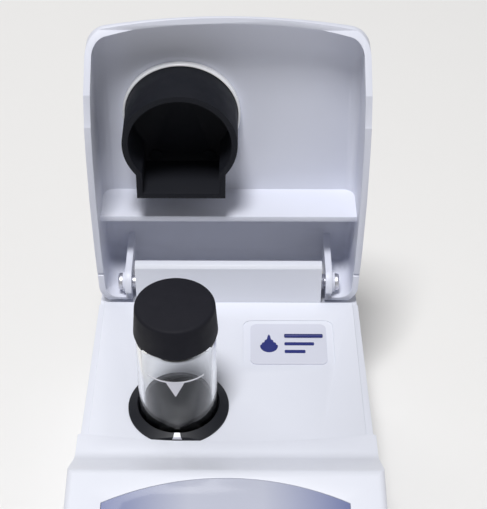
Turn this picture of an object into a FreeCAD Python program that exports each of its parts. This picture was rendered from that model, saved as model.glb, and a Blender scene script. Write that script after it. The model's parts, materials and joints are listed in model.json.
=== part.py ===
import FreeCAD, Part
import math
import os

import Sketcher

# Portable turbidity meter: a hand-held box with a measuring well at its rear, a hinged lid that
# darkens the well, and a sloping front panel with a display and keys.
#
# Frame: +X right, +Y towards the hinge, +Z up, millimetres.  The origin is on the table, under the
# middle of the whole object with its lid open.  Sizes are thought out from the deck: the flat top
# beside the well, whose rear edge is y = 0 and whose surface is z = 0 in the helpers below.

Vector = FreeCAD.Vector

DIMENSIONS = [
    # frame
    ("deck_rear", 80.29, "row y of the deck's rear edge"),
    ("deck_height", 50.0, "row z of the deck"),
    # housing
    ("deck_half_rear", 43.0, "half width of the deck at the hinge"),
    ("deck_half_front", 44.1, "half width of the deck at the step"),
    ("deck_side", 61.0, "length of the deck along its sides"),
    ("deck_centre", 64.2, "length of the deck on its middle line"),
    ("deck_rise", 1.2, "height of the deck over the shoulder round it"),
    ("rear_half", 44.6, "half width of the housing at the hinge"),
    ("neck_half", 46.4, "half width of the housing at the step"),
    ("front_half", 47.0, "half width of the front block"),
    ("rear_reach", 13.0, "how far the housing goes behind the deck"),
    ("shelf_drop", 3.3, "shelf behind the deck, under the lid's ears"),
    ("toe_y", 71.0, "where the slope up to the crest starts"),
    ("toe_rise", 1.6, "height of the slope's foot"),
    ("step_rise", 0.7, "height of the step at the front of the deck"),
    ("crest_y", 88.0, "distance of the crest from the deck's rear edge"),
    ("crest_rise", 15.4, "height of the crest over the deck"),
    ("front_y", 192.0, "distance of the front end from the deck's rear edge"),
    ("front_rise", 3.5, "height of the panel's front edge over the deck"),
    ("split_drop", 22.0, "depth of the line where the two shells meet"),
    ("base_drop", 48.5, "depth of the underside"),
    ("wall", 2.4, "wall of the shells"),
    ("foot_height", 1.5, "part of a foot that stands proud"),
    # hinge
    ("hinge_y", 6.5, "hinge axis behind the deck's rear edge"),
    ("hinge_z", 3.9, "hinge axis over the deck"),
    ("open_angle", 92.5, "angle of the lid's stop, from closed"),
    ("pin_radius", 2.1, "hinge pin"),
    ("pin_fit", 0.05, "radial clearance of the pin in the lid"),
    ("block_half", 31.9, "half width of the hinge block"),
    ("block_rise", 16.4, "height of the hinge block"),
    ("block_reach", 10.7, "rear face of the hinge block"),
    ("pin_start", 26.8, "inner end of a hinge pin"),
    # lid
    ("lid_half", 45.9, "half width of the lid at its widest"),
    ("lid_flank_radius", 1000.0, "curve of the lid's flanks in plan"),
    ("lid_widest", 40.0, "distance of the widest place"),
    ("lid_nose", 91.2, "distance of the nose"),
    ("lid_nose_radius", 196.0, "curve of the nose in plan"),
    ("lid_wall", 2.1, "wall of the lid"),
    ("lid_gap", 0.4, "gap between the rim and the housing"),
    ("ceiling", 23.5, "ceiling of the closed lid over the deck"),
    ("ear_radius", 6.4, "rounded end of the lid's ears"),
    ("lug_inner", 33.5, "inner face of a lug"),
    ("lug_outer", 35.7, "outer face of a lug"),
    ("ledge_y", 19.0, "cross wall in the lid"),
    ("ledge_wall", 2.0, "thickness of the cross wall"),
    ("ledge_depth", 15.7, "depth of the cross wall"),
    # well
    ("well_x", 15.65, "well axis left of the middle"),
    ("well_y", 48.56, "well axis in front of the deck's rear edge"),
    ("well_bore", 12.85, "radius of the bore"),
    ("well_outer", 14.2, "outer radius of the chamber"),
    ("well_floor", 44.8, "depth of the bore"),
    ("flange_radius", 16.15, "ring round the well's mouth"),
    ("flange_edge", 0.6, "height of the ring's outer wall"),
    ("flange_lip", 13.2, "radius of the ring's top edge"),
    ("flange_rise", 2.3, "height of the ring"),
    ("flange_flat", 14.4, "flat front of the ring from the axis"),
    # light shield
    ("shield_y", 51.3, "shield axis in front of the deck's rear edge"),
    ("shield_outer", 18.77, "outer radius of the light shield"),
    ("shield_wall", 2.0, "wall of the light shield"),
    ("shield_end", 1.5, "thickness of the shield's closed end"),
    ("shield_gap", 0.1, "room between the shield and the inside of the lid"),
    ("shield_length", 20.2, "length of the light shield"),
    ("shield_tab_half", 14.67, "half width of the shield's square side"),
    ("shield_tab_reach", 21.2, "reach of the square side from the axis"),
    ("shield_screw_x", 9.0, "shield screws beside the axis"),
    ("shield_screw_y", 16.6, "shield screws behind the axis, in the square side"),
    ("collar_radius", 19.66, "white ring round the shield"),
    ("collar_height", 2.4, "height of the white ring"),
    # vial
    ("vial_radius", 12.5, "glass"),
    ("vial_bore", 10.9, "inside of the glass"),
    ("vial_floor", 1.8, "thickness of the glass floor"),
    ("vial_height", 63.2, "height of the glass"),
    ("vial_raised", 20.15, "depth of the vial's foot below the deck, raised"),
    ("cap_seat", 54.8, "height of the cap's lower edge on the vial"),
    ("cap_height", 10.9, "height of the cap"),
    ("cap_radius", 12.35, "radius of the cap at its top"),
    ("cap_skirt", 13.0, "radius of the cap at its lower edge"),
    ("cap_bore", 10.3, "inside of the cap"),
    ("mark_level", 44.4, "height of the fill line on the vial"),
    # panel
    ("window_half", 36.0, "half width of the display window"),
    ("window_length", 45.0, "length of the display window"),
    ("window_arch", 81.0, "curve of the window's rear edge"),
    ("window_wall", 1.2, "thickness of the window"),
    ("key_width", 13.0, "width of a key"),
    ("key_depth", 9.0, "depth of a key"),
    ("key_pitch_x", 17.5, "keys across"),
    ("key_travel", 0.6, "travel of a key"),
    # label
    ("label_x", 20.35, "middle of the label"),
    ("label_y", 20.05, "middle of the label"),
    ("label_width", 25.7, "width of the label"),
    ("label_depth", 18.9, "depth of the label"),
    ("label_frame_width", 30.6, "width of the recess round the label"),
    ("label_frame_depth", 22.5, "depth of the recess round the label"),
    ("label_sink", 0.45, "depth of the recess"),
    # batteries
    ("cell_radius", 7.15, "battery cell"),
    ("cell_length", 50.0, "battery cell"),
    ("bay_half", 33.0, "half width of the battery bay"),
    ("bay_rear", 112.0, "rear end of the battery bay"),
    ("bay_front", 172.0, "front end of the battery bay"),
    ("door_travel", 4.0, "travel of the battery door"),
    ("door_wall", 1.8, "thickness of the battery door"),
    ("fit_gap", 0.35, "gap between pieces that slide or drop in"),
]


class Size:
    """A length that carries both its number and the sheet expression that it comes from."""

    def __init__(self, number, text):
        self.number = number
        self.text = text

    def __add__(self, other):
        other = as_size(other)
        return Size(self.number + other.number, f"({self.text} + {other.text})")

    def __sub__(self, other):
        other = as_size(other)
        return Size(self.number - other.number, f"({self.text} - {other.text})")

    def __mul__(self, factor):
        return Size(self.number * factor, f"({self.text} * {factor})")

    def __truediv__(self, factor):
        return Size(self.number / factor, f"({self.text} / {factor})")

    def __neg__(self):
        return Size(-self.number, f"(0 - {self.text})")

    def __radd__(self, other):
        return as_size(other) + self

    def __rsub__(self, other):
        return as_size(other) - self

    __rmul__ = __mul__


def as_size(value):
    """A plain number becomes a Size that is written out in full."""
    return value if isinstance(value, Size) else Size(float(value), f"({float(value):.6f})")


class Sheet:
    """Holds one Size for each alias of the spreadsheet."""


doc = FreeCAD.newDocument("turbidity_meter")
sheet = doc.addObject("Spreadsheet::Sheet", "dims")
d = Sheet()
for row, (alias, number, note) in enumerate(DIMENSIONS, start=1):
    sheet.set(f"A{row}", note)
    sheet.set(f"B{row}", str(number))
    sheet.setAlias(f"B{row}", alias)
    setattr(d, alias, Size(number, f"dims.{alias}"))
doc.recompute()

CASE_SCREWS = [(x, y) for y in (-90.0, -183.0) for x in (-40.5, 40.5)]
FEET = [(x, y) for y in (-8.0, -182.5) for x in (-35.0, 35.0)]
WINDOW_REAR = 2.4
KEY_ROWS = (-62.0, -79.0)
KEY_COLUMNS = (-1.5, -0.5, 0.5, 1.5)
KEY_SPOTS = {f"key_{4 * r + c + 1}": (KEY_COLUMNS[c] * d.key_pitch_x.number, KEY_ROWS[r])
             for r in range(2) for c in range(4)}
KEY_SKIRT = -3.7
OPTICS_LEVEL = -31.0
COVER_AXIS_Z = -20.3
COVER_AXIS_Y = d.rear_reach - 0.75
ROOF_BEND = -71.5

UPRIGHT = FreeCAD.Rotation()
ALONG_X = FreeCAD.Rotation(Vector(0, 1, 0), 90)
ALONG_Y = FreeCAD.Rotation(Vector(1, 0, 0), -90)
PLANES = {"XY": UPRIGHT, "YZ": FreeCAD.Rotation(Vector(1, 1, 1), 120),
          "XZ": FreeCAD.Rotation(Vector(1, 0, 0), 90)}
nodes = []


# ---- helpers: everything is given from the deck and lands in the row frame ----

def bind(thing, name, size):
    """Ties a property to the sheet."""
    thing.setExpression(name, as_size(size).text)


def settle(thing, x, y, z, rotation=UPRIGHT):
    """Puts an object at a deck position, tied to the sheet."""
    thing.Placement = FreeCAD.Placement(Vector(0, 0, 0), rotation)
    bind(thing, "Placement.Base.x", x)
    bind(thing, "Placement.Base.y", as_size(y) + d.deck_rear)
    bind(thing, "Placement.Base.z", as_size(z) + d.deck_height)
    return thing


def deck_place(x, y, z, rotation=UPRIGHT):
    """The Placement of a deck position."""
    place = [as_size(value).number for value in (x, y, z)]
    return FreeCAD.Placement(Vector(place[0], place[1] + d.deck_rear.number,
                                    place[2] + d.deck_height.number), rotation)


def block(name, x, y, z):
    """A box between the low and high ends given for x, y and z."""
    x, y, z = [(as_size(low), as_size(high)) for low, high in (x, y, z)]
    thing = doc.addObject("Part::Box", name)
    bind(thing, "Length", x[1] - x[0])
    bind(thing, "Width", y[1] - y[0])
    bind(thing, "Height", z[1] - z[0])
    return settle(thing, x[0], y[0], z[0])


def rod(name, radius, length, x, y, z, rotation=UPRIGHT):
    """A cylinder from its base point."""
    thing = doc.addObject("Part::Cylinder", name)
    bind(thing, "Radius", radius)
    bind(thing, "Height", length)
    return settle(thing, x, y, z, rotation)


def draw(sketch, points):
    """A closed outline of straight lines whose corners are tied to the sheet."""
    points = [(as_size(u), as_size(v)) for u, v in points]
    count = len(points)
    for i in range(count):
        ends = [Vector(points[k][0].number, points[k][1].number, 0) for k in (i, (i + 1) % count)]
        sketch.addGeometry(Part.LineSegment(*ends), False)
    for i in range(count):
        sketch.addConstraint(Sketcher.Constraint("Coincident", i, 2, (i + 1) % count, 1))
    for i, corner in enumerate(points):
        for kind, value, axis in (("DistanceX", corner[0], -2), ("DistanceY", corner[1], -1)):
            if abs(value.number) < 1e-9:
                sketch.addConstraint(Sketcher.Constraint("PointOnObject", i, 1, axis))
                continue
            index = sketch.addConstraint(Sketcher.Constraint(kind, -1, 1, i, 1, value.number))
            bind(sketch, f"Constraints[{index}]", value)


def prism(name, plane, points, start, length):
    """An outline in a deck plane, extruded along the plane's normal from start."""
    sketch = doc.addObject("Sketcher::SketchObject", f"{name}_sketch")
    draw(sketch, points)
    start = as_size(start)
    spot = {"XY": (0, 0, start), "YZ": (start, 0, 0), "XZ": (0, -start, 0)}[plane]
    settle(sketch, *spot, PLANES[plane])
    thing = doc.addObject("Part::Extrusion", name)
    thing.Base = sketch
    thing.DirMode = "Normal"
    thing.Solid = True
    bind(thing, "LengthFwd", length)
    return thing


def lathe(name, points, place):
    """A body turned about its own Z axis from (radius, height) points."""
    body = doc.addObject("PartDesign::Body", name)
    sketch = body.newObject("Sketcher::SketchObject", f"{name}_sketch")
    plane = [item for item in body.Origin.OriginFeatures if item.Role == "XZ_Plane"][0]
    sketch.AttachmentSupport = [(plane, "")]
    sketch.MapMode = "FlatFace"
    draw(sketch, points)
    turn = body.newObject("PartDesign::Revolution", f"{name}_turn")
    turn.Profile = sketch
    turn.ReferenceAxis = (sketch, ["V_Axis"])
    turn.Angle = 360
    body.Tip = turn
    body.Placement = place
    return body


def fuse(name, *parts):
    """Joins parts into one solid."""
    thing = doc.addObject("Part::MultiFuse", name)
    thing.Shapes = list(parts)
    thing.Refine = True
    return thing


def cut(name, base, *tools):
    """Takes the tools away from the base."""
    tool = tools[0] if len(tools) == 1 else fuse(f"{name}_tools", *tools)
    thing = doc.addObject("Part::Cut", name)
    thing.Base = base
    thing.Tool = tool
    return thing


def common(name, *parts):
    """Keeps what all the parts share."""
    thing = doc.addObject("Part::MultiCommon", name)
    thing.Shapes = list(parts)
    return thing


def fillet(name, base, radius, chosen):
    """Rounds the edges for which chosen(edge, middle) holds, with middle given from the deck."""
    doc.recompute()
    offset = Vector(0, d.deck_rear.number, d.deck_height.number)
    picked = []
    for index, edge in enumerate(base.Shape.Edges, start=1):
        middle = edge.valueAt((edge.FirstParameter + edge.LastParameter) / 2) - offset
        if chosen(edge, middle):
            picked.append((index, radius, radius))
    if not picked:
        raise RuntimeError(f"{name}: no edge to round")
    thing = doc.addObject("Part::Fillet", name)
    thing.Base = base
    thing.Edges = picked
    doc.recompute()
    return thing


def is_upright(edge):
    """True for a straight vertical edge."""
    low, high = edge.Vertexes[0].Point, edge.Vertexes[-1].Point
    return abs(low.x - high.x) < 0.01 and abs(low.y - high.y) < 0.01 and abs(low.z - high.z) > 0.05


HINGE_POINT = deck_place(0, d.hinge_y, d.hinge_z).Base
OPENED = FreeCAD.Rotation(Vector(1, 0, 0), -d.open_angle.number)


def swung(place=FreeCAD.Placement()):
    """Turns a placement in the closed lid to the open lid, about the hinge pins."""
    about = FreeCAD.Placement(HINGE_POINT, OPENED) * FreeCAD.Placement(-HINGE_POINT, UPRIGHT)
    return about * place


def keep(label, thing, opened=False):
    """Names a finished sub-part; a piece of the lid is swung open."""
    thing.Label = label
    if opened:
        thing.Placement = swung(thing.Placement)
    nodes.append(thing)
    return thing


# ---- the sloping panel in front of the crest ----

PANEL_RUN = d.front_y.number - d.crest_y.number
PANEL_SLOPE = math.degrees(math.atan((d.crest_rise.number - d.front_rise.number) / PANEL_RUN))
PANEL_TILT = FreeCAD.Rotation(Vector(1, 0, 0), PANEL_SLOPE)
PANEL = deck_place(0, -d.crest_y, d.crest_rise, PANEL_TILT)


def on_panel(x=0.0, y=0.0, z=0.0, turn=UPRIGHT):
    """A place on the panel: y is counted from the crest, z is the height over the panel."""
    return PANEL * FreeCAD.Placement(Vector(x, y, z), turn)


def slab(name, width, depth, thickness, corner, place, top_round=0.0):
    """A rounded plate as a body: its outline is centred on place and it goes up from there."""
    body = doc.addObject("PartDesign::Body", name)
    sketch = body.newObject("Sketcher::SketchObject", f"{name}_sketch")
    plane = [item for item in body.Origin.OriginFeatures if item.Role == "XY_Plane"][0]
    sketch.AttachmentSupport = [(plane, "")]
    sketch.MapMode = "FlatFace"
    half_w, half_d = as_size(width) / 2, as_size(depth) / 2
    draw(sketch, [(-half_w, -half_d), (half_w, -half_d), (half_w, half_d), (-half_w, half_d)])
    pad = body.newObject("PartDesign::Pad", f"{name}_pad")
    pad.Profile = sketch
    bind(pad, "Length", thickness)
    body.Tip = pad
    doc.recompute()
    rounds = [(corner, "corners", is_upright)]
    if top_round:
        level = as_size(thickness).number
        rounds.append((top_round, "rim", lambda edge: edge.BoundBox.ZMin > level - 0.01))
    for radius, part, wanted in rounds:
        if not radius:
            continue
        tip = body.Tip
        names = [f"Edge{i}" for i, edge in enumerate(tip.Shape.Edges, start=1) if wanted(edge)]
        rounding = body.newObject("PartDesign::Fillet", f"{name}_{part}")
        rounding.Base = (tip, names)
        rounding.Radius = radius
        body.Tip = rounding
        doc.recompute()
    body.Placement = place
    return body


# ---- housing ----

def plan_outline(inset, front, rear):
    """Outline of the housing seen from above, inset by a wall."""
    step_y = -d.deck_side
    right = [(d.rear_half - inset, rear), (d.neck_half - inset, step_y + 0.05),
             (d.front_half - inset, step_y - 0.05), (d.front_half - inset, front + 14),
             (d.front_half - inset - 3.0, front)]
    left = [(-x, y) for x, y in reversed(right)]
    return right + left


def housing_prism(name, inset, low, high):
    """The housing's plan between two levels, with its four corners rounded."""
    inset = as_size(inset)
    front, rear = -d.front_y + inset, d.rear_reach - inset
    body = prism(name, "XY", plan_outline(inset, front, rear), low, as_size(high) - low)
    rear_number, front_number = rear.number, front.number

    def corner(edge, middle):
        return is_upright(edge) and (middle.y > rear_number - 0.01)

    def toe(edge, middle):
        return is_upright(edge) and (middle.y < front_number + 0.01)

    rear_round = fillet(f"{name}_rear_round", body, 7.0 - inset.number, corner)
    return fillet(f"{name}_front_round", rear_round, 12.0 - inset.number, toe)


def step_arc(name, inset, low, high):
    """The cylinder whose edge is the curved step at the front of the deck."""
    half = d.deck_half_front.number
    sag = d.deck_centre.number - d.deck_side.number
    radius = (half * half + sag * sag) / (2 * sag)
    return rod(name, radius + inset, as_size(high) - low, 0, radius - d.deck_centre.number, low)


def front_profile(inset):
    """Side view of the front block's top, lowered by a wall."""
    low = -d.split_drop
    return [(-d.deck_side + 0.5, low), (-d.deck_side + 0.5, d.step_rise - inset),
            (-d.toe_y, d.toe_rise - inset), (-d.crest_y + 0.5, d.crest_rise - inset - 0.25),
            (-d.crest_y - 1.5, d.crest_rise - inset - 0.17), (-d.front_y, d.front_rise - inset),
            (-d.front_y, low)]


def upper_shell():
    """Upper half of the housing with the deck, the front block and the hinge block."""
    shoulder = -d.deck_rise
    shelf = -d.shelf_drop
    low = -d.split_drop
    wall = d.wall
    plan = housing_prism("upper_plan", 0, low, 30)
    trunk = block("upper_trunk", (-60, 60), (-d.deck_side - 8, 0), (low, shoulder))
    tail = block("upper_tail", (-60, 60), (-1, d.rear_reach), (low, shelf))
    deck = prism("deck_plate", "XY",
                 [(d.deck_half_rear, 0), (d.deck_half_front, -d.deck_side - 6),
                  (-d.deck_half_front, -d.deck_side - 6), (-d.deck_half_rear, 0)],
                 -2.5, 2.5)
    profile = prism("front_block_side", "YZ", front_profile(as_size(0)), -60, 120)
    arc = step_arc("step_cylinder", 0, -1.2, 40)
    front_block = cut("front_block", profile, arc)
    raised = fillet("front_block_round", front_block, 9.0,
                    lambda edge, middle: abs(middle.y + d.toe_y.number) < 0.1
                    and middle.z > 0 and edge.BoundBox.XLength > 80)
    crest = fillet("crest_round", raised, 5.0,
                   lambda edge, middle: abs(middle.y + d.crest_y.number - 0.5) < 0.2
                   and middle.z > 10 and edge.BoundBox.XLength > 80)
    outer = common("upper_outer", fuse("upper_stack", trunk, tail, deck, crest), plan)
    outer = fillet("upper_edges", outer, 2.6,
                   lambda edge, middle: middle.z > 2 and middle.y < -d.crest_y.number - 3
                   and not is_upright(edge))

    cavity_plan = housing_prism("upper_cavity_plan", wall, low - 1, 30)
    under_deck = block("under_deck", (-60, 60), (-d.deck_side - 8, -d.fit_gap * 7),
                       (low - 1, shoulder - wall))
    under_tail = block("under_tail", (-60, 60), (-3, d.rear_reach), (low - 1, shelf - wall))
    under_front = prism("under_front", "YZ", front_profile(wall), -60, 120)
    keel = block("keel_cut", (-60, 60), (-d.front_y, -d.deck_side + 0.5), (low - 1, low + 1))
    cavity = common("upper_cavity", fuse("upper_hollow", under_deck, under_tail, under_front, keel),
                    cavity_plan)
    shell = cut("upper_hollowed", outer, cavity)

    side = [(0.2, shelf - 1), (0.2, d.block_rise - 1.0), (1.2, d.block_rise),
            (3.4, d.block_rise), (4.6, d.block_rise - 1.2), (d.block_reach, d.hinge_z + 4.4),
            (d.block_reach, shelf - 1)]
    hinge_block = prism("hinge_block", "YZ", side, -d.block_half, d.block_half * 2)
    well_ring = rod("well_sleeve", d.well_outer + 2.2, 9.0, -d.well_x, -d.well_y, -10.0)
    bosses = [rod(f"screw_boss_{i}", 3.6, d.split_drop + panel_level(y) - 1.0, x, y, -d.split_drop)
              for i, (x, y) in enumerate(CASE_SCREWS, start=1)]
    solid = fuse("upper_solid", shell, hinge_block, well_ring, *bosses)

    tools = [rod("well_hole", d.well_outer + 0.05, 30, -d.well_x, -d.well_y, -20)]
    tools += [rod(f"pin_bore_{i}", d.pin_radius + 0.02, 8.0, x, d.hinge_y, d.hinge_z, ALONG_X)
              for i, x in enumerate((-d.block_half - 1, d.block_half - 7.0), start=1)]
    tools += [rod(f"screw_pilot_{i}", 1.25, 12.0, x, y, -d.split_drop - 0.1)
              for i, (x, y) in enumerate(CASE_SCREWS, start=1)]
    tools.append(slab("label_pocket", d.label_frame_width, d.label_frame_depth, 3, 3.0,
                             deck_place(d.label_x, -d.label_y, -d.label_sink)))
    tools.append(window_solid("window_pocket", 0.15, -d.window_wall, 6))
    tools.append(slab("display_hole", 58, 34, 8, 1.0, on_panel(0, -25.5, -6)))
    for key, (x, y) in KEY_SPOTS.items():
        tools.append(slab(f"{key}_hole", d.key_width + 0.6, d.key_depth + 0.6, 8, 2.6,
                                 on_panel(x, y, -5)))
    tools.append(block("port_window", (22.4, 34.4), (d.rear_reach - 6, d.rear_reach + 1), (-17, -9)))
    tools.append(block("port_recess", (16.0, 36.8), (d.rear_reach - 1.8, d.rear_reach + 1),
                       (-21.4, -6.8)))
    keep("upper_shell", cut("upper_body", solid, *tools))


def panel_level(y):
    """Height of the panel over the deck at a deck y."""
    return d.crest_rise.number + (y + d.crest_y.number) * math.tan(math.radians(PANEL_SLOPE))


def window_solid(name, grow, bottom, top):
    """Plate with an arched rear edge, in the plane of the panel."""
    grow = as_size(grow)
    bottom, top = as_size(bottom), as_size(top)
    half = d.window_half + grow
    rear, front = -WINDOW_REAR + grow.number, -WINDOW_REAR - d.window_length - grow
    plate = slab(f"{name}_plate", half * 2, rear - front, top - bottom, 3.0,
                 on_panel(0, (rear + front).number / 2, bottom.number))
    arch = doc.addObject("Part::Cylinder", f"{name}_arch")
    bind(arch, "Radius", d.window_arch + grow)
    bind(arch, "Height", top - bottom)
    arch.Placement = on_panel(0, -WINDOW_REAR - d.window_arch.number, bottom.number)
    return common(name, plate, arch)


def lower_shell():
    """Tub with the battery bay, the foot seats and the screw holes."""
    low, high = -d.base_drop, -d.split_drop - 0.6
    wall = d.wall
    outer = housing_prism("lower_plan", 0, low, high)
    outer = fillet("lower_edges", outer, 2.2, lambda edge, middle: middle.z < low.number + 0.01)
    inner = housing_prism("lower_cavity", wall, low + wall, high + 1)
    shell = cut("lower_hollowed", outer, inner)
    roof = block("bay_roof", (-d.bay_half - 2, d.bay_half + 2), (-d.bay_front - 8, -d.bay_rear + 2),
                 (low + 0.5, low + 19.5))
    pillars = [rod(f"pillar_{i}", 3.6, high - low, x, y, low)
               for i, (x, y) in enumerate(CASE_SCREWS, start=1)]
    solid = fuse("lower_solid", shell, roof, *pillars)
    bay = block("bay_hole", (-d.bay_half, d.bay_half), (-d.bay_front, -d.bay_rear),
                (low - 1, low + 18.0))
    recess = block("door_recess", (-d.bay_half - 1.6, d.bay_half + 1.6),
                   (-d.bay_front - d.door_travel - 2.0, -d.bay_rear + 1.6), (low - 1, low + d.door_wall))
    tools = [bay, recess]
    tools += [rod(f"foot_seat_{i}", 5.1, 2.0, x, y, low - 1.5) for i, (x, y) in enumerate(FEET, 1)]
    tools += [rod(f"screw_clear_{i}", 1.6, 40.0, x, y, low - 1)
              for i, (x, y) in enumerate(CASE_SCREWS, 1)]
    tools += [rod(f"screw_sink_{i}", 3.0, 3.0, x, y, low - 0.1)
              for i, (x, y) in enumerate(CASE_SCREWS, 1)]
    tools.append(rod("well_relief", d.well_outer + 0.4, 3.0, -d.well_x, -d.well_y, low + wall - 0.6))
    keep("lower_shell", cut("lower_body", solid, *tools))


def shell_gasket():
    """Grey seal in the line between the two shells."""
    low = -d.split_drop - 0.6
    outer = housing_prism("gasket_outer", 0.4, low, low + 0.6)
    inner = housing_prism("gasket_inner", 1.9, low - 1, low + 2)
    keep("shell_gasket", cut("gasket_body", outer, inner))


def base_hardware():
    """Feet, case screws and the battery door with what is behind it."""
    low = -d.base_drop
    for i, (x, y) in enumerate(FEET, start=1):
        keep(f"foot_{i}", lathe(f"foot_{i}_body", [(0, 0), (4.5, 0), (5.0, 0.6), (5.0, 2.0), (0, 2.0)],
                                deck_place(x, y, low - d.foot_height)))
    for i, (x, y) in enumerate(CASE_SCREWS, start=1):
        turned = [(0, 0.9), (1.1, 0.9), (1.1, 0), (2.7, 0), (2.7, 1.8), (1.45, 1.9), (1.45, 24.8),
                  (1.2, 25.2), (1.2, 35.0), (0, 36.0)]
        keep(f"case_screw_{i}", lathe(f"case_screw_{i}_body", turned, deck_place(x, y, low + 0.9)))
    middle = -(d.bay_rear + d.bay_front) / 2
    door = slab("door_plate", d.bay_half * 2 + 2.4, d.bay_front - d.bay_rear + 2.4,
                d.door_wall - 0.3, 2.0, deck_place(0, middle, low + 0.05))
    grips = [rod(f"door_grip_{i}", 0.55, 16, -8, -d.bay_front + 2.0 + 2.2 * i, low + 0.05, ALONG_X)
             for i in range(4)]
    keep("battery_door", cut("door_body", door, *grips))


def battery_pack():
    """Tray, four cells and their contact plates."""
    low = -d.base_drop
    floor = low + d.door_wall + 0.2
    middle = -(d.bay_rear + d.bay_front) / 2
    tray = block("tray_block", (-d.bay_half + 0.4, d.bay_half - 0.4),
                 (-d.bay_front + 0.4, -d.bay_rear - 0.4), (floor + 6.5, low + 17.8))
    spots = [(-1.5 + i) * 15.4 for i in range(4)]
    cups = [rod(f"tray_cup_{i}", d.cell_radius + 0.15, d.cell_length + 6.0, spot,
                middle - d.cell_length / 2 - 3.0, floor + d.cell_radius + 0.2, ALONG_Y)
            for i, spot in enumerate(spots, start=1)]
    keep("battery_tray", cut("tray_body", tray, *cups))
    for i, spot in enumerate(spots, start=1):
        radius = d.cell_radius
        turned = [(0, 0), (radius - 0.8, 0), (radius, 0.6), (radius, d.cell_length - 1.4),
                  (radius - 0.7, d.cell_length - 0.9), (2.7, d.cell_length - 0.9),
                  (2.7, d.cell_length), (0, d.cell_length)]
        turn = ALONG_Y if i % 2 else FreeCAD.Rotation(Vector(1, 0, 0), 90)
        start = middle - d.cell_length / 2 if i % 2 else middle + d.cell_length / 2
        keep(f"battery_cell_{i}", lathe(f"cell_{i}_body", turned,
                                        deck_place(spot, start, floor + radius + 0.2, turn)))
    for name, y in (("rear", middle + d.cell_length / 2), ("front", middle - d.cell_length / 2 - 0.8)):
        plate = block(f"contact_{name}_plate", (-30, 30), (y, y + 0.8), (floor + 1.0, floor + 6.5))
        slots = [block(f"contact_{name}_slot_{i}", (x - 0.6, x + 0.6), (y - 1, y + 2),
                       (floor + 2.0, floor + 7)) for i, x in enumerate((-15.4, 0.0, 15.4))]
        keep(f"battery_contact_{name}", cut(f"contact_{name}_body", plate, *slots))


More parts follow.
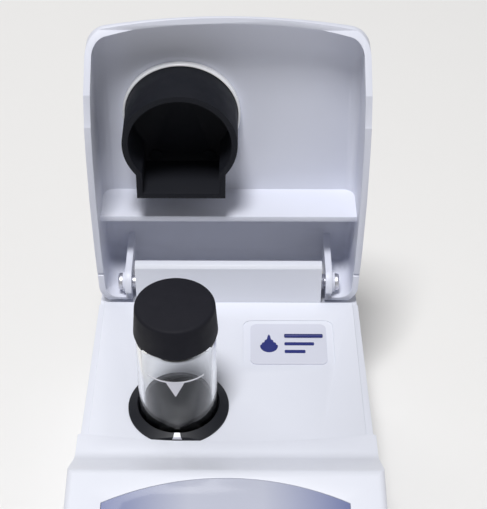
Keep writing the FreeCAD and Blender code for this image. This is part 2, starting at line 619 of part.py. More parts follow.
def measuring_well():
    """Black chamber with its ring, the white index mark, the seal and the optics round it."""
    depth, bore, outer = d.well_floor, d.well_bore, d.well_outer
    turned = [(0, -depth - 1.1), (outer, -depth - 1.1), (outer, 0), (d.flange_radius, 0),
              (d.flange_radius, d.flange_edge), (d.flange_lip, d.flange_rise),
              (bore + 0.05, d.flange_rise - 0.4), (bore, d.flange_rise - 1.6), (bore, -depth),
              (0, -depth)]
    chamber = lathe("well_turned", turned, deck_place(-d.well_x, -d.well_y, 0))
    flat = block("well_flat", (-d.well_x - 20, -d.well_x + 20),
                 (-d.well_y - d.flange_flat - 6, -d.well_y - d.flange_flat), (-0.1, 6))
    level = OPTICS_LEVEL
    ports = [rod(f"well_port_{name}", 3.1, 6, *spot, turn) for name, spot, turn in (
        ("lamp", (-d.well_x + bore - 2, -d.well_y, level), ALONG_X),
        ("through", (-d.well_x - bore - 4, -d.well_y, level), ALONG_X),
        ("scatter", (-d.well_x, -d.well_y + bore - 2, level), ALONG_Y))]
    keep("cell_well", cut("well_body", chamber, flat, *ports))

    slope = (d.flange_rise.number - d.flange_edge.number) / (
        d.flange_radius.number - d.flange_lip.number)
    fall = slope * (d.flange_flat.number - d.flange_lip.number)
    film = lathe("mark_film", [(d.flange_lip, d.flange_rise + 0.02), (d.flange_lip, d.flange_rise + 0.14),
                               (d.flange_flat, d.flange_rise - fall + 0.14),
                               (d.flange_flat, d.flange_rise - fall + 0.02)],
                 deck_place(-d.well_x, -d.well_y, 0))
    apron = block("mark_apron", (-d.well_x - 3, -d.well_x + 3),
                  (-d.well_y - d.flange_flat - 0.13, -d.well_y - d.flange_flat - 0.01),
                  (0.5, d.flange_rise - fall + 0.14))
    shape = prism("mark_outline", "XZ",
                  [(-d.well_x - 1.55, 0.7), (-d.well_x + 1.55, 0.7), (-d.well_x + 0.8, 2.6),
                   (-d.well_x - 0.8, 2.6)], d.well_y + d.flange_lip, 2)
    mark = common("mark_body", fuse("mark_sheet", film, apron), shape)
    keep("well_index_mark", mark)
    keep("well_seal", lathe("seal_body", [(outer + 0.15, -11.6), (outer + 2.0, -11.6),
                                          (outer + 2.0, -10.1), (outer + 0.15, -10.1)],
                            deck_place(-d.well_x, -d.well_y, 0)))

    frame = block("optics_frame", (-36.6, 9.4), (-d.well_y - 19, -d.well_y + 21),
                  (level - 8, level + 8))
    holes = [rod("optics_centre", outer + 0.1, 20, -d.well_x, -d.well_y, level - 10),
             rod("optics_lamp", 3.1, 40, -d.well_x, -d.well_y, level, ALONG_X),
             rod("optics_through", 3.1, 22, -d.well_x - 22, -d.well_y, level, ALONG_X),
             rod("optics_scatter", 3.1, 30, -d.well_x, -d.well_y, level, ALONG_Y)]
    keep("optics_block", cut("optics_body", frame, *holes))
    lens = [(0, 0), (2.95, 0), (2.95, 1.0), (2.0, 1.55), (1.0, 1.8), (0, 1.9)]
    keep("source_lens", lathe("lens_body", lens,
                              deck_place(-d.well_x + outer + 0.3, -d.well_y, level, ALONG_X)))
    led = [(0, 0), (1.2, 0.3), (2.1, 1.0), (2.5, 2.2), (2.5, 7.6), (2.95, 7.6), (2.95, 8.6), (0, 8.6)]
    keep("source_led", lathe("led_body", led,
                             deck_place(-d.well_x + outer + 2.8, -d.well_y, level, ALONG_X)))
    eye = [(0, 0), (1.4, 0), (1.4, 0.5), (2.9, 0.5), (2.9, 3.5), (0, 3.5)]
    toward_left = FreeCAD.Rotation(Vector(0, 1, 0), -90)
    keep("transmit_detector", lathe("transmit_body", eye,
                                    deck_place(-d.well_x - outer - 0.6, -d.well_y, level, toward_left)))
    keep("scatter_detector", lathe("scatter_body", eye,
                                   deck_place(-d.well_x, -d.well_y + outer + 0.6, level, ALONG_Y)))
    keep("optics_board", slab("optics_pcb", 26, 34, 1.6, 1.0,
                              deck_place(26, -d.well_y, level - 8)))


def panel_pieces():
    """Display, window, circuit board, keypad mat and keys."""
    keep("display_window", window_solid("window_body", 0, -d.window_wall, 0))
    keep("display_module", slab("display_body", 56, 32, 4.0, 0.6, on_panel(0, -25.5, -5.6)))
    mat_wall = 0.8
    mat_low = KEY_SKIRT - d.key_travel.number - 0.1 - mat_wall
    keep("keypad_mat", slab("mat_body", 72, 30, mat_wall, 2.0, on_panel(0, -70.5, mat_low)))
    keep("main_board", slab("board_body", 70, 84, 1.6, 2.0, on_panel(0, -50, -8.2)))
    for name, (x, y) in KEY_SPOTS.items():
        skirt = slab(f"{name}_skirt", d.key_width + 2.4, d.key_depth + 2.4, 0.9, 2.8,
                     on_panel(x, y, KEY_SKIRT))
        cap = slab(f"{name}_cap", d.key_width, d.key_depth, 4.6, 2.2,
                   on_panel(x, y, KEY_SKIRT + 0.3), 0.5)
        keep(name, fuse(f"{name}_body", skirt, cap))


def deck_pieces():
    """Label plate, hinge pins, spring and the data port."""
    keep("label_plate", slab("label_body", d.label_width, d.label_depth, 0.35, 2.2,
                             deck_place(d.label_x, -d.label_y, -d.label_sink)))
    pin = [(0, 0), (d.pin_radius, 0), (d.pin_radius, 10.2), (2.9, 10.2), (2.9, 11.0), (2.5, 11.5),
           (0, 11.5)]
    for name, side in (("right", 1), ("left", -1)):
        turn = ALONG_X if side > 0 else FreeCAD.Rotation(Vector(0, 1, 0), -90)
        keep(f"hinge_pin_{name}", lathe(f"pin_{name}_body", pin,
                                        deck_place(side * d.pin_start, d.hinge_y, d.hinge_z,
                                                   turn)))
    turns = [(0.0, 2.65), (0.3, 2.9), (0.6, 2.65), (0.9, 2.9), (1.2, 2.65)]
    coil = [(2.2, 0)] + [(radius, rise) for rise, radius in turns] + [(2.2, 1.2)]
    keep("hinge_spring", lathe("spring_body", coil,
                               deck_place(d.block_half + 0.15, d.hinge_y, d.hinge_z, ALONG_X)))
    keep("data_port", cut("port_body",
                          block("port_case", (23.0, 33.8), (d.rear_reach - 10, d.rear_reach - 2.6),
                                (-16.6, -9.4)),
                          block("port_mouth", (24.6, 32.2), (d.rear_reach - 9, d.rear_reach),
                                (-15.2, -10.8)),
                          ))
    cover = block("cover_plate", (16.4, 36.4), (d.rear_reach - 1.4, d.rear_reach - 0.1),
                  (COVER_AXIS_Z, -7.2))
    barrel = rod("cover_barrel", 0.75, 20.0, 16.4, COVER_AXIS_Y, COVER_AXIS_Z, ALONG_X)
    plug = block("cover_plug", (24.9, 31.9), (d.rear_reach - 2.4, d.rear_reach - 1.3), (-14.9, -11.1))
    keep("port_cover", fuse("cover_body", cover, barrel, plug))


# ---- lid, modelled closed and swung open ----

def lid_plan(name, inset, low, high):
    """The lid's plan between two levels: an arched nose, bowed flanks and rounded corners."""
    inset = as_size(inset)
    tall = as_size(high) - low
    sheet_block = block(f"{name}_block", (-60, 60),
                        (-d.lid_nose - 5, d.hinge_y + d.ear_radius - inset), (low, high))
    arcs = [rod(f"{name}_nose_arc", d.lid_nose_radius - inset, tall, 0,
                -d.lid_nose + d.lid_nose_radius, low)]
    for side, sign in (("left", -1), ("right", 1)):
        arcs.append(rod(f"{name}_{side}_arc", d.lid_flank_radius - inset, tall,
                        (d.lid_half - d.lid_flank_radius) * sign, -d.lid_widest, low))
    bowed = common(f"{name}_bowed", sheet_block, *arcs)
    nose_round = fillet(f"{name}_nose_round", bowed, 7.5 - inset.number,
                        lambda edge, middle: is_upright(edge) and middle.y < -80)
    return fillet(f"{name}_ear_round", nose_round, 6.7 - inset.number,
                  lambda edge, middle: is_upright(edge) and middle.y > 5)


def lid_roof(name, inset):
    """Side view of the lid: flat roof, sloping nose and an end rounded about the hinge pins."""
    inset = as_size(inset)
    roof = d.ceiling + d.lid_wall - inset
    side = prism(f"{name}_outline", "YZ",
                 [(d.hinge_y + d.ear_radius + 2, -8), (d.hinge_y + d.ear_radius + 2, roof),
                  (ROOF_BEND, roof), (-d.lid_nose - 2, roof - 6.4), (-d.lid_nose - 2, -8)], -60, 120)
    return fillet(name, side, 30, lambda edge, middle: abs(middle.y - ROOF_BEND) < 0.1)


def roof_edge(edge, middle):
    """True for an edge round the lid's roof."""
    return middle.z > 12 and not is_upright(edge) and edge.Length > 1.0 and not crosses_roof(edge)


def crosses_roof(edge):
    """True for the line across the roof where its nose slope starts."""
    return edge.BoundBox.YLength < 0.5 and edge.BoundBox.XLength > 60 and -80 < (
        edge.BoundBox.YMin - d.deck_rear.number) < 0


def lid_shell():
    """Lid with its two ears, the lugs for the pins and the cross wall; returns the space in it."""
    wall, gap = d.lid_wall, d.lid_gap
    outer = common("lid_outer", lid_plan("lid_out", 0, -8, 40), lid_roof("lid_out_side", 0))
    outer = fillet("lid_outer_round", outer, 6.0, roof_edge)
    inner = common("lid_inner", lid_plan("lid_in", wall, -9, 40), lid_roof("lid_in_side", wall))
    inner = fillet("lid_inner_round", inner, 4.0, roof_edge)
    shell = cut("lid_hollowed", outer, inner)

    lugs = [prism(f"lug_{side}", "YZ",
                  [(0.3, -6), (0.3, d.ceiling + 0.8), (d.hinge_y + d.ear_radius, d.ceiling + 0.8),
                   (d.hinge_y + d.ear_radius, -6)], start, d.lug_outer - d.lug_inner)
            for side, start in (("left", -d.lug_outer), ("right", d.lug_inner))]
    bosses = [rod(f"lug_boss_{side}", 3.6, 1.1, x, d.hinge_y, d.hinge_z, ALONG_X)
              for side, x in (("left", -d.lug_outer - 1.1), ("right", d.lug_outer))]
    ledge = block("lid_ledge", (-60, 60), (-d.ledge_y, -d.ledge_y + d.ledge_wall),
                  (d.ceiling - d.ledge_depth, d.ceiling + 0.8))
    ribs = common("lid_ribs_in", fuse("lid_ribs_all", ledge, *lugs), outer)
    solid = fuse("lid_solid", shell, ribs)

    rim = [(30, -12), (30, gap), (-d.deck_side + 0.8, gap), (-d.deck_side - 0.2, d.step_rise + gap),
           (-d.toe_y, d.toe_rise + gap + 0.45), (-d.crest_y + 1.2, d.crest_rise + gap),
           (-d.lid_nose - 4, d.crest_rise + gap), (-d.lid_nose - 4, -12)]
    under = prism("lid_rim_cut", "YZ", rim, -60, 120)
    ear_zone = block("ear_zone", (-60, 60), (d.hinge_y - d.ear_radius, 40), (-9, d.hinge_z))
    ear_keep = rod("ear_disc", d.ear_radius, 120, -60, d.hinge_y, d.hinge_z, ALONG_X)
    ear_waste = cut("ear_waste", ear_zone, ear_keep)
    lug_keep = [block(f"lug_guard_{side}", x, (0.3, d.hinge_y), (-8, d.hinge_z)) for side, x in (
        ("left", (-d.lug_outer - 0.3, -d.lug_inner)), ("right", (d.lug_inner, d.lug_outer + 0.3)))]
    rim_cut = cut("rim_cut", under, *lug_keep)
    throat = block("throat_cut", (-d.lug_inner, d.lug_inner), (-5, 30), (-10, d.ceiling - 3.0))
    bores = [rod(f"lug_bore_{side}", d.pin_radius + d.pin_fit, 6, x, d.hinge_y, d.hinge_z, ALONG_X)
             for side, x in (("left", -d.lug_outer - 3), ("right", d.lug_inner - 1.5))]
    trimmed = cut("lid_trimmed", solid, rim_cut, ear_waste, throat)
    body = cut("lid_body", fuse("lid_with_bosses", trimmed, *bosses), *bores)
    keep("lid_shell", body, opened=True)
    inset = wall + d.shield_gap
    space = common("space_sharp", lid_plan("space", inset, -9, 40), lid_roof("space_side", inset))
    return fillet("space_round", space, 4.0, roof_edge)


def light_shield(space):
    """White collar, black keyhole tube and its two screws, trimmed to the space in the lid."""
    x, y, top = -d.well_x, -d.shield_y, d.ceiling
    over = top + 1
    ring = lathe("collar_ring", [(d.shield_outer + 0.15, -d.collar_height),
                                 (d.collar_radius - 0.4, -d.collar_height),
                                 (d.collar_radius, -d.collar_height + 0.4),
                                 (d.collar_radius, 1), (d.shield_outer + 0.15, 1)],
                 deck_place(x, y, top))
    # the shield's square side passes through the collar, so the collar is open there
    opening = block("collar_opening", (x - d.shield_tab_half - 0.15, x + d.shield_tab_half + 0.15),
                    (y, y + 25), (top - 5, over))
    collar = common("collar_trimmed", cut("collar_body", ring, opening), space)
    keep("shield_collar", collar, opened=True)

    def keyhole(name, inset, low, high):
        tube = rod(f"{name}_tube", d.shield_outer - inset, as_size(high) - low, x, y, low)
        tab = block(f"{name}_tab", (x - d.shield_tab_half + inset, x + d.shield_tab_half - inset),
                    (y, y + d.shield_tab_reach - inset), (low, high))
        return fuse(name, tube, tab)

    outer = keyhole("shield_out", as_size(0), top - d.shield_length, over)
    inner = keyhole("shield_in", d.shield_wall, top - d.shield_length - 1, top - d.shield_end)
    spots = [(name, x + side * d.shield_screw_x, y + d.shield_screw_y)
             for name, side in (("left", -1), ("right", 1))]
    holes = [rod(f"shield_screw_hole_{name}", 1.2, 5, spot_x, spot_y, top - 3)
             for name, spot_x, spot_y in spots]
    shield = common("shield_trimmed", cut("shield_body", outer, inner, *holes), space)
    keep("light_shield", shield, opened=True)
    screw = [(0, -2.1), (2.1, -2.1), (2.1, -1.55), (1.1, -1.5), (1.1, 0), (0, 0)]
    for name, spot_x, spot_y in spots:
        keep(f"shield_screw_{name}", lathe(f"shield_screw_{name}_body", screw,
                                           deck_place(spot_x, spot_y, top)), opened=True)


# ---- sample vial ----

def vial():
    """Glass with its fill mark, the cap and the cap's liner."""
    place = deck_place(-d.well_x, -d.well_y, -d.vial_raised)
    glass, bore, floor, height, seat = (d.vial_radius, d.vial_bore, d.vial_floor, d.vial_height,
                                        d.cap_seat)
    keep("vial_glass", lathe("glass_body", [
        (0, 0.4), (glass - 1.6, 0), (glass - 0.4, 0.4), (glass, 1.4), (glass, seat - 1.2),
        (glass - 0.7, seat - 0.3), (10.0, seat - 0.1), (10.0, height), (8.6, height),
        (8.6, seat - 0.6), (bore, seat - 2.4), (bore, floor + 1.0), (bore - 1.0, floor), (0, floor)],
        place))
    band = lathe("mark_band", [(glass + 0.01, d.mark_level), (glass + 0.1, d.mark_level),
                               (glass + 0.1, d.mark_level + 1.0), (glass + 0.01, d.mark_level + 1.0)],
                 place)
    sleeve = lathe("mark_sleeve", [(glass + 0.01, d.mark_level - 7), (glass + 0.1, d.mark_level - 7),
                                   (glass + 0.1, d.mark_level + 0.5), (glass + 0.01, d.mark_level + 0.5)],
                   place)
    tip = d.mark_level - d.vial_raised.number
    wedge = prism("mark_wedge", "XZ", [(-d.well_x - 3.0, tip + 0.4), (-d.well_x, tip - 6.0),
                                       (-d.well_x + 3.0, tip + 0.4)], d.well_y + 5, 12)
    keep("vial_mark", fuse("fill_mark_body", band, common("mark_arrow", sleeve, wedge)))
    cap_place = deck_place(-d.well_x, -d.well_y, -d.vial_raised + seat)
    top, skirt, hole, tall = d.cap_radius, d.cap_skirt, d.cap_bore, d.cap_height
    keep("vial_cap", lathe("cap_body", [
        (hole, 0), (skirt - 0.3, 0), (skirt, 0.3), (top, tall - 1.0), (top - 0.3, tall - 0.3),
        (top - 1.0, tall), (0, tall), (0, tall - 1.2), (hole, tall - 1.2)], cap_place))
    liner = hole - 0.1
    keep("cap_liner", lathe("liner_body", [(0, tall - 2.4), (liner, tall - 2.4),
                                           (liner, tall - 1.25), (0, tall - 1.25)], cap_place))


upper_shell()
lower_shell()
shell_gasket()
base_hardware()
battery_pack()
measuring_well()
panel_pieces()
deck_pieces()
light_shield(lid_shell())
vial()

doc.recompute()
for thing in doc.Objects:
    if "Invalid" in thing.State or "Error" in thing.State:
        raise RuntimeError(f"{thing.Name} failed: {thing.State}")
for node in nodes:
    if node.Shape.isNull() or not node.Shape.isValid() or not node.Shape.Solids:
        raise RuntimeError(f"{node.Label} has no valid solid")

os.makedirs("parts", exist_ok=True)
whole = FreeCAD.BoundBox()
for node in nodes:
    whole.add(node.Shape.BoundBox)
    node.Shape.exportStep(os.path.join("parts", f"{node.Label}.step"))
    print(f"{node.Label:22s} solids {len(node.Shape.Solids)}  volume {node.Shape.Volume:10.1f}")
print(f"{len(nodes)} sub-parts, box {whole}, middle y {(whole.YMin + whole.YMax) / 2:.3f}")
print(f"panel slope {PANEL_SLOPE:.4f} degrees, hinge at {HINGE_POINT}")
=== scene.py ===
"""Looks of a portable turbidity meter: moulded shells, hinged lid, glass vial, display and keys."""

import json
import logging
import math
from dataclasses import dataclass
from enum import Enum
from typing import Iterable, Sequence

import bpy
from mathutils import Matrix, Vector

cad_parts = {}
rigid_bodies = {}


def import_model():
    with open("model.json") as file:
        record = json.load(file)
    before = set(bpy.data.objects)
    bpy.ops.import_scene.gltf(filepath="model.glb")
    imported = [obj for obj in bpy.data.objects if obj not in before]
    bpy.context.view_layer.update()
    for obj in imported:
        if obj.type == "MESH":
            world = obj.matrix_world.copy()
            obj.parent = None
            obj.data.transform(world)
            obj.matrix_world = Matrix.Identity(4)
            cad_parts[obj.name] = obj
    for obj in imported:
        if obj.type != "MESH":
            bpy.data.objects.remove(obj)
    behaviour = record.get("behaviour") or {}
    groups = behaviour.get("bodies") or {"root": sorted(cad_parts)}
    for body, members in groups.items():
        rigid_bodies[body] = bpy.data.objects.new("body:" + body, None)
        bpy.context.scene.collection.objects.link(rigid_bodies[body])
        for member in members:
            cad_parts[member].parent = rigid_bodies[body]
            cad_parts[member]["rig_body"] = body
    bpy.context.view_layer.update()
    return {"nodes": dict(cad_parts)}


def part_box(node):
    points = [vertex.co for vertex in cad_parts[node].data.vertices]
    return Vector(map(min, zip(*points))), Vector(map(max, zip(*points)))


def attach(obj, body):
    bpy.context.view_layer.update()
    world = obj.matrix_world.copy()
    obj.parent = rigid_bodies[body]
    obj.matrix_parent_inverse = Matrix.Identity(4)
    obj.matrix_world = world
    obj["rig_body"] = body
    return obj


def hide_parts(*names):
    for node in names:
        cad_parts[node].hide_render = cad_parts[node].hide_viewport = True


logging.basicConfig(level=logging.INFO, format="%(message)s")
LOG = logging.getLogger("turbidity_meter")

MM = 0.001
GRAIN_HEIGHT = 0.00006
MERGE = 2e-6
Colour = tuple[float, float, float]
Point = tuple[float, float, float]
Outline = list[tuple[float, float]]

# Strokes of a seven-stroke digit, as places across and up in half digits, and the strokes of each.
STROKES = {"a": (0, 1), "b": (0.5, 0.5), "c": (0.5, -0.5), "d": (0, -1), "e": (-0.5, -0.5),
           "f": (-0.5, 0.5), "g": (0, 0)}
LEVEL_STROKES = "adg"
DIGITS = {"0": "abcdef", "1": "bc", "2": "abged", "3": "abgcd", "4": "fgbc", "5": "afgcd",
          "6": "afgedc", "7": "abc", "8": "abcdefg", "9": "abfgcd"}

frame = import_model()


class Glyph(Enum):
    """Signs that a key can carry, each with its strokes.

    A stroke is (kind, x, y, width, height, turn): millimetres and degrees, with kind one of
    bar, ring and arrow.
    """

    POWER = (("ring", 0.0, -0.2, 3.4, 0.42, 0), ("bar", 0.0, 1.2, 0.42, 1.9, 0))
    LEFT = (("arrow", 0.0, 0.0, 3.2, 3.2, 90),)
    RIGHT = (("arrow", 0.0, 0.0, 3.2, 3.2, -90),)
    UP = (("arrow", 0.0, 0.0, 3.2, 3.2, 0),)
    DOWN = (("arrow", 0.0, 0.0, 3.2, 3.2, 180),)
    PLUS = (("bar", 0.0, 0.0, 3.0, 0.5, 0), ("bar", 0.0, 0.0, 0.5, 3.0, 0))
    SAMPLE = (("ring", 0.0, 0.0, 2.0, 0.42, 0), ("bar", 2.2, 0.0, 1.1, 0.4, 0),
              ("bar", -2.2, 0.0, 1.1, 0.4, 0), ("bar", 0.0, 2.2, 0.4, 1.1, 0),
              ("bar", 0.0, -2.2, 0.4, 1.1, 0))
    ENTER = (("bar", 0.6, -0.3, 3.0, 0.45, 0), ("bar", 1.9, 0.5, 0.45, 2.0, 0),
             ("arrow", -1.6, -0.3, 1.9, 1.9, 90))


# ---------------------------------------------------------------- node helpers


class NodeSheet:
    """A material under construction, with short names for the nodes that it uses."""

    def __init__(self, name: str) -> None:
        """Starts an empty node material.

        Args:
            name: The material's name.
        """
        self.material = bpy.data.materials.new(name)
        self.material.use_nodes = True
        self.tree = self.material.node_tree
        self.shader = self.tree.nodes["Principled BSDF"]
        coords = self.tree.nodes.new("ShaderNodeTexCoord")
        self.place = coords.outputs["Object"]

    def link(self, source: bpy.types.NodeSocket, target: bpy.types.NodeSocket) -> None:
        """Connects two sockets."""
        self.tree.links.new(source, target)

    def noise(self, scale: float, detail: float = 3.0, rough: float = 0.55,
              stretch: Point = (1.0, 1.0, 1.0)) -> bpy.types.NodeSocket:
        """Adds a noise texture on object coordinates.

        Args:
            scale: Features per metre.
            detail: Octaves.
            rough: How strong the finer octaves are.
            stretch: Extra scale along x, y and z.

        Returns:
            The noise's factor socket.
        """
        mapping = self.tree.nodes.new("ShaderNodeMapping")
        mapping.inputs["Scale"].default_value = stretch
        self.link(self.place, mapping.inputs["Vector"])
        texture = self.tree.nodes.new("ShaderNodeTexNoise")
        texture.inputs["Scale"].default_value = scale
        texture.inputs["Detail"].default_value = detail
        texture.inputs["Roughness"].default_value = rough
        self.link(mapping.outputs["Vector"], texture.inputs["Vector"])
        return texture.outputs["Fac"]

    def ramp(self, source: bpy.types.NodeSocket, low: float, high: float,
             start: float = 0.0, stop: float = 1.0) -> bpy.types.NodeSocket:
        """Maps a value from start..stop to low..high.

        Args:
            source: The value's socket.
            low: Result at start.
            high: Result at stop.
            start: First value of the range that is mapped.
            stop: Last value of that range.

        Returns:
            The mapped value's socket.
        """
        node = self.tree.nodes.new("ShaderNodeMapRange")
        for key, number in (("From Min", start), ("From Max", stop), ("To Min", low), ("To Max", high)):
            node.inputs[key].default_value = number
        self.link(source, node.inputs["Value"])
        return node.outputs["Result"]

    def blend(self, factor: bpy.types.NodeSocket, first: Colour, second: Colour) -> bpy.types.NodeSocket:
        """Mixes two colours by a factor.

        Args:
            factor: Socket that runs from nought to one.
            first: Colour at nought.
            second: Colour at one.

        Returns:
            The mixed colour's socket.
        """
        node = self.tree.nodes.new("ShaderNodeMix")
        node.data_type = "RGBA"
        node.inputs["A"].default_value = (*first, 1.0)
        node.inputs["B"].default_value = (*second, 1.0)
        self.link(factor, node.inputs["Factor"])
        return node.outputs["Result"]

    def bump(self, height: bpy.types.NodeSocket, strength: float, distance: float) -> None:
        """Feeds a height into the shader's normal, on top of any bump before it.

        Args:
            height: The height's socket.
            strength: How much of the bump shows.
            distance: Depth of the relief in metres.
        """
        node = self.tree.nodes.new("ShaderNodeBump")
        node.inputs["Strength"].default_value = strength
        node.inputs["Distance"].default_value = distance
        self.link(height, node.inputs["Height"])
        earlier = self.shader.inputs["Normal"].links
        if earlier:
            self.link(earlier[0].from_socket, node.inputs["Normal"])
        self.link(node.outputs["Normal"], self.shader.inputs["Normal"])

    def set(self, **numbers: float) -> None:
        """Sets shader sockets; a name's underscores stand for spaces."""
        for key, number in numbers.items():
            self.shader.inputs[key.replace("_", " ")].default_value = number


def lighter(colour: Colour, amount: float) -> Colour:
    """A colour scaled by one factor."""
    return tuple(min(1.0, part * amount) for part in colour)


# ---------------------------------------------------------------- finishes


@dataclass(frozen=True)
class Moulded:
    """Injection-moulded plastic with a fine spark-eroded grain."""

    name: str
    colour: Colour
    roughness: float = 0.42
    grain: float = 2600.0
    grain_depth: float = 0.12
    mottle: float = 0.018
    specular: float = 0.45
    cloud_scale: float = 38.0
    wear_scale: float = 210.0

    def make(self) -> bpy.types.Material:
        """Builds the material.

        Returns:
            The finished material.
        """
        sheet = NodeSheet(self.name)
        clouds = sheet.noise(self.cloud_scale, 2.0)
        tint = sheet.blend(clouds, lighter(self.colour, 1.0 - self.mottle),
                           lighter(self.colour, 1.0 + self.mottle))
        sheet.link(tint, sheet.shader.inputs["Base Color"])
        wear = sheet.noise(self.wear_scale, 4.0)
        sheet.link(sheet.ramp(wear, self.roughness - 0.05, self.roughness + 0.06, 0.3, 0.7),
                   sheet.shader.inputs["Roughness"])
        sheet.bump(sheet.noise(self.grain, 2.0, 0.6), self.grain_depth, GRAIN_HEIGHT)
        sheet.set(Specular_IOR_Level=self.specular)
        return sheet.material


@dataclass(frozen=True)
class TintWithPaintedShade:
    """Glossy window film in one tint, with painted shade that darkens it from the middle towards its
    sides.
    """

    name: str
    middle: Colour
    # middle: the film's tint where no painted shade lies; side: the same tint darkened by painted shade
    # at the sides
    side: Colour
    reach: float
    even_part: float = 0.3
    roughness: float = 0.09
    specular: float = 0.6

    def make(self) -> bpy.types.Material:
        """Builds the material.

        Returns:
            The finished material.
        """
        sheet = NodeSheet(self.name)
        split = sheet.tree.nodes.new("ShaderNodeSeparateXYZ")
        sheet.link(sheet.place, split.inputs["Vector"])
        away = sheet.tree.nodes.new("ShaderNodeMath")
        away.operation = "ABSOLUTE"
        sheet.link(split.outputs["X"], away.inputs[0])
        # painted shade: the tint darkens from the middle colour to the side colour with distance from the
        # middle
        painted_side_shade = sheet.ramp(away.outputs["Value"], 0.0, 1.0, self.reach * self.even_part, self.reach)
        tint = sheet.blend(painted_side_shade, self.middle, self.side)
        sheet.link(tint, sheet.shader.inputs["Base Color"])
        sheet.link(sheet.ramp(sheet.noise(180.0, 3.0), self.roughness, self.roughness + 0.05, 0.35, 0.7),
                   sheet.shader.inputs["Roughness"])
        sheet.bump(sheet.noise(900.0, 2.0), 0.01, GRAIN_HEIGHT)
        sheet.set(Specular_IOR_Level=self.specular)
        return sheet.material


@dataclass(frozen=True)
class Clear:
    """Glass and clear panes."""

    name: str
    colour: Colour
    ior: float
    roughness: float = 0.0
    ripple: float = 0.02
    ripple_height: float = 0.0002
    specular: float = 0.2

    def make(self) -> bpy.types.Material:
        """Builds the material.

        Returns:
            The finished material.
        """
        sheet = NodeSheet(self.name)
        veil = sheet.noise(60.0, 2.0, stretch=(1.0, 1.0, 0.3))
        tint = sheet.blend(veil, lighter(self.colour, 0.985), self.colour)
        sheet.link(tint, sheet.shader.inputs["Base Color"])
        sheet.link(sheet.ramp(veil, self.roughness, self.roughness + 0.015, 0.55, 0.8),
                   sheet.shader.inputs["Roughness"])
        sheet.bump(sheet.noise(90.0, 1.0, stretch=(1.0, 1.0, 0.25)), self.ripple,
                   self.ripple_height)
        sheet.set(Transmission_Weight=1.0, IOR=self.ior, Specular_IOR_Level=self.specular)
        return sheet.material


@dataclass(frozen=True)
class Metal:
    """Plated or brushed metal with fine drawn lines."""

    name: str
    colour: Colour
    roughness: float = 0.28
    line_scale: float = 3000.0
    line_height: float = 0.00003

    def make(self) -> bpy.types.Material:
        """Builds the material.

        Returns:
            The finished material.
        """
        sheet = NodeSheet(self.name)
        lines = sheet.noise(self.line_scale, 3.0)
        tint = sheet.blend(lines, lighter(self.colour, 0.93), lighter(self.colour, 1.04))
        sheet.link(tint, sheet.shader.inputs["Base Color"])
        sheet.link(sheet.ramp(lines, self.roughness - 0.06, self.roughness + 0.08),
                   sheet.shader.inputs["Roughness"])
        sheet.bump(lines, 0.1, self.line_height)
        sheet.set(Metallic=1.0)
        return sheet.material


@dataclass(frozen=True)
class Circuit:
    """Solder mask with traces and pads showing through."""

    name: str
    colour: Colour
    pad_scale: float = 260.0
    gap: float = 0.03
    mask_height: float = 0.00005

    def make(self) -> bpy.types.Material:
        """Builds the material.

        Returns:
            The finished material.
        """
        sheet = NodeSheet(self.name)
        brick = sheet.tree.nodes.new("ShaderNodeTexBrick")
        brick.inputs["Scale"].default_value = self.pad_scale
        brick.inputs["Mortar Size"].default_value = self.gap
        brick.inputs["Color1"].default_value = (*self.colour, 1.0)
        brick.inputs["Color2"].default_value = (*lighter(self.colour, 0.8), 1.0)
        brick.inputs["Mortar"].default_value = (*lighter(self.colour, 2.2), 1.0)
        sheet.link(sheet.place, brick.inputs["Vector"])
        sheet.link(brick.outputs["Color"], sheet.shader.inputs["Base Color"])
        sheet.bump(brick.outputs["Fac"], 0.2, self.mask_height)
        sheet.link(sheet.ramp(sheet.noise(400.0), 0.3, 0.5), sheet.shader.inputs["Roughness"])
        return sheet.material


